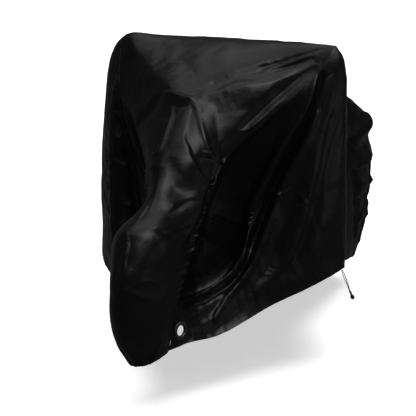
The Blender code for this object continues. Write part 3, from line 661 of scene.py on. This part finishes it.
def inset(panel, edge, depth, lift):
    """Points and normals at a depth in from one edge of a panel, raised by lift."""
    points, normals = panel.points, panel.normals
    if edge in ("start", "end"):
        points, normals = points.transpose(1, 0, 2), normals.transpose(1, 0, 2)
    if edge in ("end", "far"):
        points, normals = points[:, ::-1], normals[:, ::-1]
    run = run_length(points, 1)
    place, facing = [np.array([[np.interp(depth, run[k], grid[k, :, axis]) for axis in range(3)]
                               for k in range(len(run))]) for grid in (points, normals)]
    return place + facing * lift, facing


def cloth_object(panel, made_of, hems, hole=None):
    """A panel's sheet, with the cloth turned under along its hems and a hole left for the eyelet."""
    columns, rows = panel.a.shape
    points = [panel.points.reshape(-1, 3)]
    uv = [np.stack([panel.along, panel.across], axis=-1).reshape(-1, 2)]
    faces = [grid_quads(columns, rows)]
    if hole is not None:
        middle = points[0][faces[0]].mean(axis=1)
        faces[0] = faces[0][np.linalg.norm(middle - hole, axis=1) > HOLE_RADIUS]
    index = np.arange(columns * rows).reshape(columns, rows)
    count = columns * rows
    for edge in hems:
        border = {"start": index[0], "end": index[-1], "near": index[:, 0], "far": index[:, -1]}[edge]
        edge_uv = uv[0][border]
        for depth in HEM_ROWS:
            row, _ = inset(panel, edge, depth, -CLOTH)
            added = np.arange(count, count + len(row))
            count += len(row)
            points.append(row)
            uv.append(edge_uv + depth)
            quads = np.stack([border[:-1], border[1:], added[1:], added[:-1]], axis=1)
            faces.append(quads if edge in ("start", "far") else quads[:, ::-1])
            border = added
    faces = np.concatenate(faces)
    if panel.name == "right":
        faces = faces[:, ::-1]
    return mesh_object(panel.name + "_cloth", np.concatenate(points), faces, made_of, np.concatenate(uv))


def stitch_row(line, facing, closed=False):
    """Small lozenge stitches along a line lying on cloth, as vertices and faces."""
    line = np.concatenate([line, line[:1]]) if closed else line
    facing = np.concatenate([facing, facing[:1]]) if closed else facing
    run = distances(line)
    vertices, faces = [], []
    for start in np.arange(STITCH_PITCH * STITCH_START, run[-1] - STITCH_PITCH, STITCH_PITCH):
        ends = [np.array([np.interp(start + STITCH_PITCH * share, run, line[:, k]) for k in range(3)])
                for share in STITCH_SHARES]
        up = np.array([np.interp(start, run, facing[:, k]) for k in range(3)])
        up /= np.linalg.norm(up)
        ahead = ends[3] - ends[0]
        side = np.cross(ahead, up)
        side /= np.linalg.norm(side)
        base = len(vertices)
        vertices.append(ends[0] - up * STITCH_RADIUS)
        for ring in (ends[1], ends[2]):
            vertices += [ring + way * STITCH_RADIUS for way in (side, up, -side, -up)]
        vertices.append(ends[3] - up * STITCH_RADIUS)
        for k in range(4):
            after = (k + 1) % 4
            faces += [(base, base + 1 + after, base + 1 + k),
                      (base + 1 + k, base + 1 + after, base + 5 + after, base + 5 + k),
                      (base + 9, base + 5 + k, base + 5 + after)]
    return vertices, faces


def stitches_object(name, rows, made_of):
    vertices, faces = [], []
    for row_vertices, row_faces in rows:
        faces += [tuple(i + len(vertices) for i in face) for face in row_faces]
        vertices += row_vertices
    return mesh_object(name, vertices, faces, made_of)


def on_panel(panel, a, b):
    """Points and normals of the draped cloth at places of a panel, between its grid's points."""
    i = np.clip(np.interp(a, panel.a[:, 0], np.arange(len(panel.a))), 0, len(panel.a) - 1.001)
    j = np.clip(np.interp(b, panel.b[0], np.arange(panel.b.shape[1])), 0, panel.b.shape[1] - 1.001)
    i0, j0 = i.astype(int), j.astype(int)
    u, t = (i - i0)[..., None], (j - j0)[..., None]
    return [(grid[i0, j0] * (1 - u) * (1 - t) + grid[i0 + 1, j0] * u * (1 - t)
             + grid[i0, j0 + 1] * (1 - u) * t + grid[i0 + 1, j0 + 1] * u * t)
            for grid in (panel.points, panel.normals)]


def turned_ring(name, centre, axis, profile, made_of):
    """A ring turned from a closed profile of (radius, height) about an axis."""
    first = np.cross(axis, (0, 0, 1))
    first /= np.linalg.norm(first)
    second = np.cross(axis, first)
    points, faces = [], []
    size = len(profile)
    for angle in np.linspace(0, 2 * np.pi, RING_SECTIONS, endpoint=False):
        spoke = first * np.cos(angle) + second * np.sin(angle)
        points += [centre + spoke * radius + axis * height for radius, height in profile]
    for k in range(RING_SECTIONS):
        here, there = k * size, (k + 1) % RING_SECTIONS * size
        faces += [(here + i, here + (i + 1) % size, there + (i + 1) % size, there + i) for i in range(size)]
    return mesh_object(name, points, faces, made_of)


def rounded(corners, radius, steps):
    """A closed outline of (radius, height) corners with each corner rounded off."""
    outline = []
    corners = np.array(corners)
    for before, corner, after in zip(np.roll(corners, 1, axis=0), corners, np.roll(corners, -1, axis=0)):
        start = corner + (before - corner) * min(radius / np.linalg.norm(before - corner), 0.45)
        end = corner + (after - corner) * min(radius / np.linalg.norm(after - corner), 0.45)
        for t in np.linspace(0, 1, steps):
            outline.append(start * (1 - t) ** 2 + corner * 2 * t * (1 - t) + end * t ** 2)
    return outline


def node_ring(name):
    """Centre and outward axis of a CAD ring, from its own mesh."""
    mesh = bpy.data.objects[name].data
    points = np.empty(len(mesh.vertices) * 3)
    mesh.vertices.foreach_get("co", points)
    points = points.reshape(-1, 3)
    centre = (points.max(axis=0) + points.min(axis=0)) / 2
    axis = np.linalg.svd(points - points.mean(axis=0))[2][2]
    return centre, axis * np.sign(axis[0] * centre[0])


def flatten_round(panel, centre, axis):
    """Draw the cloth round an eyelet into its plane."""
    offset = panel.points - centre
    away = np.linalg.norm(offset, axis=-1)
    share = 1 - np.clip((away - FLAT_RADIUS) / FLAT_BLEND, 0, 1)
    share = share * share * (3 - 2 * share)
    panel.points -= axis * (offset @ axis * share)[..., None]
    panel.normals = grid_normals(panel.points, panel.name)


# ---------------------------------------------------------------- camera, cords and light
def make_camera():
    azimuth, elevation = math.radians(CAMERA_AZIMUTH), math.radians(CAMERA_ELEVATION)
    back = Vector((math.sin(azimuth) * math.cos(elevation), -math.cos(azimuth) * math.cos(elevation),
                   math.sin(elevation)))
    camera = add_object("camera", bpy.data.cameras.new("camera"))
    camera.data.lens = CAMERA_LENS
    camera.location = Vector(CAMERA_TARGET) + back * CAMERA_DISTANCE
    camera.rotation_euler = back.to_track_quat("Z", "Y").to_euler()
    bpy.context.scene.camera = camera


def lowered(places):
    """Places given above the ground, in the frame's own heights."""
    return np.array(places) - (0, 0, TOP_HEIGHT)


def make_tie(cord_finish, plastic):
    """The two thin cords and the moulded stopper that they end in."""
    start, end = lowered(STOPPER_START), lowered(STOPPER_END)
    axis = end - start
    across = np.cross(axis, (1, 0, 0))
    across /= np.linalg.norm(across)
    up = np.cross(axis / np.linalg.norm(axis), across)
    points, faces = [], []
    sides = STOPPER_SIDES
    for share, radius in STOPPER_PROFILE:
        for angle in np.linspace(0, 2 * np.pi, sides, endpoint=False):
            points.append(start + axis * share + radius * (across * np.cos(angle) + up * np.sin(angle)))
    for ring in range(len(STOPPER_PROFILE) - 1):
        for k in range(sides):
            here, after = ring * sides + k, ring * sides + (k + 1) % sides
            faces.append((here, after, after + sides, here + sides))
    faces.append(tuple(range(sides))[::-1])
    faces.append(tuple(range(len(points) - sides, len(points))))
    stopper = mesh_object("stopper", points, faces, plastic)
    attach(stopper, "root")
    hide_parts("tie_stopper")
    for name, route in (("front", TIE_FRONT), ("back", TIE_BACK)):
        places = lowered(route)
        knots = distances(places)
        line = spline(knots, places, np.linspace(0, knots[-1], CORD_STEPS))
        curve = bpy.data.curves.new("cord_" + name, "CURVE")
        curve.dimensions = "3D"
        curve.bevel_depth = CORD_DIAMETER / 2
        curve.bevel_resolution = 4
        curve.use_fill_caps = True
        along = curve.splines.new("POLY").points
        along.add(len(line) - 1)
        for point, place in zip(along, line):
            point.co = (*place, 1)
        curve.materials.append(cord_finish)
        cord = add_object("cord_" + name, curve)
        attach(cord, "root")
        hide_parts("tie_cord_" + name)


def make_studio():
    for name, direction, strength, spread, on_dull in FAR_BOXES:
        light = bpy.data.lights.new(name, "SUN")
        light.energy = strength
        light.angle = math.radians(spread)
        lamp = add_object(name, light)
        lamp.rotation_euler = Vector(direction).to_track_quat("Z", "Y").to_euler()
        lamp.visible_diffuse = on_dull
    for name, place, aim, size, power in SOFTBOXES:
        light = bpy.data.lights.new(name, "AREA")
        light.shape = "RECTANGLE"
        light.size, light.size_y = size
        light.energy = power
        lamp = add_object(name, light)
        lamp.location = place
        lamp.rotation_euler = (Vector(place) - Vector(aim)).to_track_quat("Z", "Y").to_euler()
    world = bpy.data.worlds.new("studio")
    world.use_nodes = True
    world.node_tree.nodes["Background"].inputs["Color"].default_value = (1, 1, 1, 1)
    world.node_tree.nodes["Background"].inputs["Strength"].default_value = WORLD_STRENGTH
    bpy.context.scene.world = world
    bpy.context.scene.view_settings.view_transform = "Standard"
    signs = ((-1, -1), (1, -1), (1, 1), (-1, 1))
    corners = [(x * FLOOR_HALF, y * FLOOR_HALF, -TOP_HEIGHT) for x, y in signs]
    floor = mesh_object("floor", corners, [(0, 1, 2, 3)], floor_material())
    floor.visible_glossy = False


def round_the_patch(cells):
    """Grid places all the way round the patch, a number of cells in from its edge."""
    last_i, last_j = PATCH_GRID[0] - 1 - cells, PATCH_GRID[1] - 1 - cells
    walk = [(i, cells) for i in range(cells, last_i + 1)]
    walk += [(last_i, j) for j in range(cells + 1, last_j + 1)]
    walk += [(i, last_j) for i in range(last_i - 1, cells - 1, -1)]
    return walk + [(cells, j) for j in range(last_j - 1, cells, -1)]


def sewn_patch(panel, cloth):
    """The narrow strip sewn over the left panel's wing, on the draped cloth."""
    u, t = np.meshgrid(np.linspace(0, 1, PATCH_GRID[0]), np.linspace(0, 1, PATCH_GRID[1]), indexing="ij")
    corners = np.array(PATCH_CORNERS)
    place = (corners[0] * ((1 - u) * (1 - t))[..., None] + corners[1] * (u * (1 - t))[..., None]
             + corners[2] * (u * t)[..., None] + corners[3] * ((1 - u) * t)[..., None])
    points, normals = on_panel(panel, place[..., 0], place[..., 1])
    edge = np.minimum(np.minimum(u, 1 - u) * PATCH_SIZE[0], np.minimum(t, 1 - t) * PATCH_SIZE[1])
    groove_at, groove_width, groove_depth = STITCH_GROOVE
    lift = PATCH_LIFT + PATCH_PUFF * np.clip(edge / PATCH_ROLL, 0, 1)
    lift -= groove_depth * np.exp(-((edge - groove_at) / groove_width) ** 2)
    points = points + normals * lift[..., None]

    border = round_the_patch(0)
    tucked = np.array([points[at] - normals[at] * PATCH_LIFT * 1.5 for at in border])
    index = np.arange(u.size).reshape(u.shape)
    ring = np.array([index[at] for at in border])
    added = np.arange(u.size, u.size + len(border))
    skirt = np.stack([ring, added, np.roll(added, -1), np.roll(ring, -1)], axis=1)
    faces = np.concatenate([grid_quads(*u.shape), skirt])
    uv = np.stack([u * PATCH_SIZE[0], t * PATCH_SIZE[1]], axis=-1).reshape(-1, 2)
    uv = np.concatenate([uv, uv[ring]])
    patch = mesh_object("sewn_patch", np.concatenate([points.reshape(-1, 3), tucked]), faces, cloth, uv)
    walk = round_the_patch(PATCH_STITCHES)
    line, facing = [np.array([grid[at] for at in walk]) for grid in (points, normals)]
    return patch, stitch_row(line, facing, closed=True)


def make_eyelet(name, centre, axis, plastic):
    """The moulded ring that stands for a CAD eyelet, with the cloth held in its groove."""
    corners = [(0.0162, -0.0042), (0.0285, -0.0042), (0.0290, -0.0016), (0.0196, -0.0012), (0.0196, 0.0012),
               (0.0290, 0.0014), (0.0287, 0.0034), (0.0240, 0.0044), (0.0185, 0.0040), (0.0160, 0.0020)]
    profile = rounded(corners, EYELET_ROUNDING, EYELET_STEPS)
    eyelet = turned_ring(name + "_eyelet", centre, axis, profile, plastic)
    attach(eyelet, "root")
    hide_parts(name + "_lock_eyelet")


def draped_panels():
    """The three panels with their folds, in the random draws' order."""
    s = np.concatenate([np.linspace(0, WING_END, FRONT_COLUMNS + 1),
                        np.linspace(WING_END, 1, REAR_COLUMNS + 1)[1:]])
    v = np.linspace(0, 1, ROWS + 1)
    bunch = CENTRE_BUNCH * np.pi
    w = np.sin(np.linspace(-bunch, bunch, CENTRE_COLUMNS + 1)) / np.sin(bunch)
    panels = {"centre": Panel("centre", np.concatenate([v, 1 + s[1:], 2 + v[1:]]), w),
              "left": Panel("left", s, v), "right": Panel("right", s, v)}
    rng = np.random.default_rng(SEED)
    for panel in panels.values():
        drape(panel, rng)
    return panels


def main():
    make_camera()
    cloth, plastic, cord, thread = cloth_material(), plastic_material(), cord_material(), thread_material()
    make_tie(cord, plastic)
    make_studio()

    panels = draped_panels()
    pieces, stitches = {}, []
    for name in ("left", "right"):
        panel = panels[name]
        centre, axis = node_ring(name + "_lock_eyelet")
        flatten_round(panel, centre, axis)
        pieces[name] = cloth_object(panel, cloth, ["far"], centre)
        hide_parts(name + "_side_panel", name + "_lock_corner")
        make_eyelet(name, centre, axis, plastic)
        for edge in ("start", "near", "end"):
            stitches.append(stitch_row(*inset(panel, edge, SEAM_STITCHES, STITCH_LIFT)))
        stitches.append(stitch_row(*inset(panel, "far", HEM_STITCHES, STITCH_LIFT)))
    pieces["centre"] = cloth_object(panels["centre"], cloth, ["start", "end"])
    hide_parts("centre_panel")
    for edge in ("start", "end"):
        stitches.append(stitch_row(*inset(panels["centre"], edge, HEM_STITCHES, STITCH_LIFT)))
    patch, patch_stitches = sewn_patch(panels["left"], cloth)
    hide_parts("left_sewn_patch")
    sewing = stitches_object("stitching", stitches + [patch_stitches], thread)
    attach(sewing, "root")
    for piece, flat, area in ((pieces["left"], (0.84, 1.62), 1.24), (pieces["right"], (0.84, 1.66), 1.22),
                              (pieces["centre"], (0.75, 2.95), 1.19), (patch, (0.062, 0.225), 0.0110)):
        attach(piece, "root")


main()
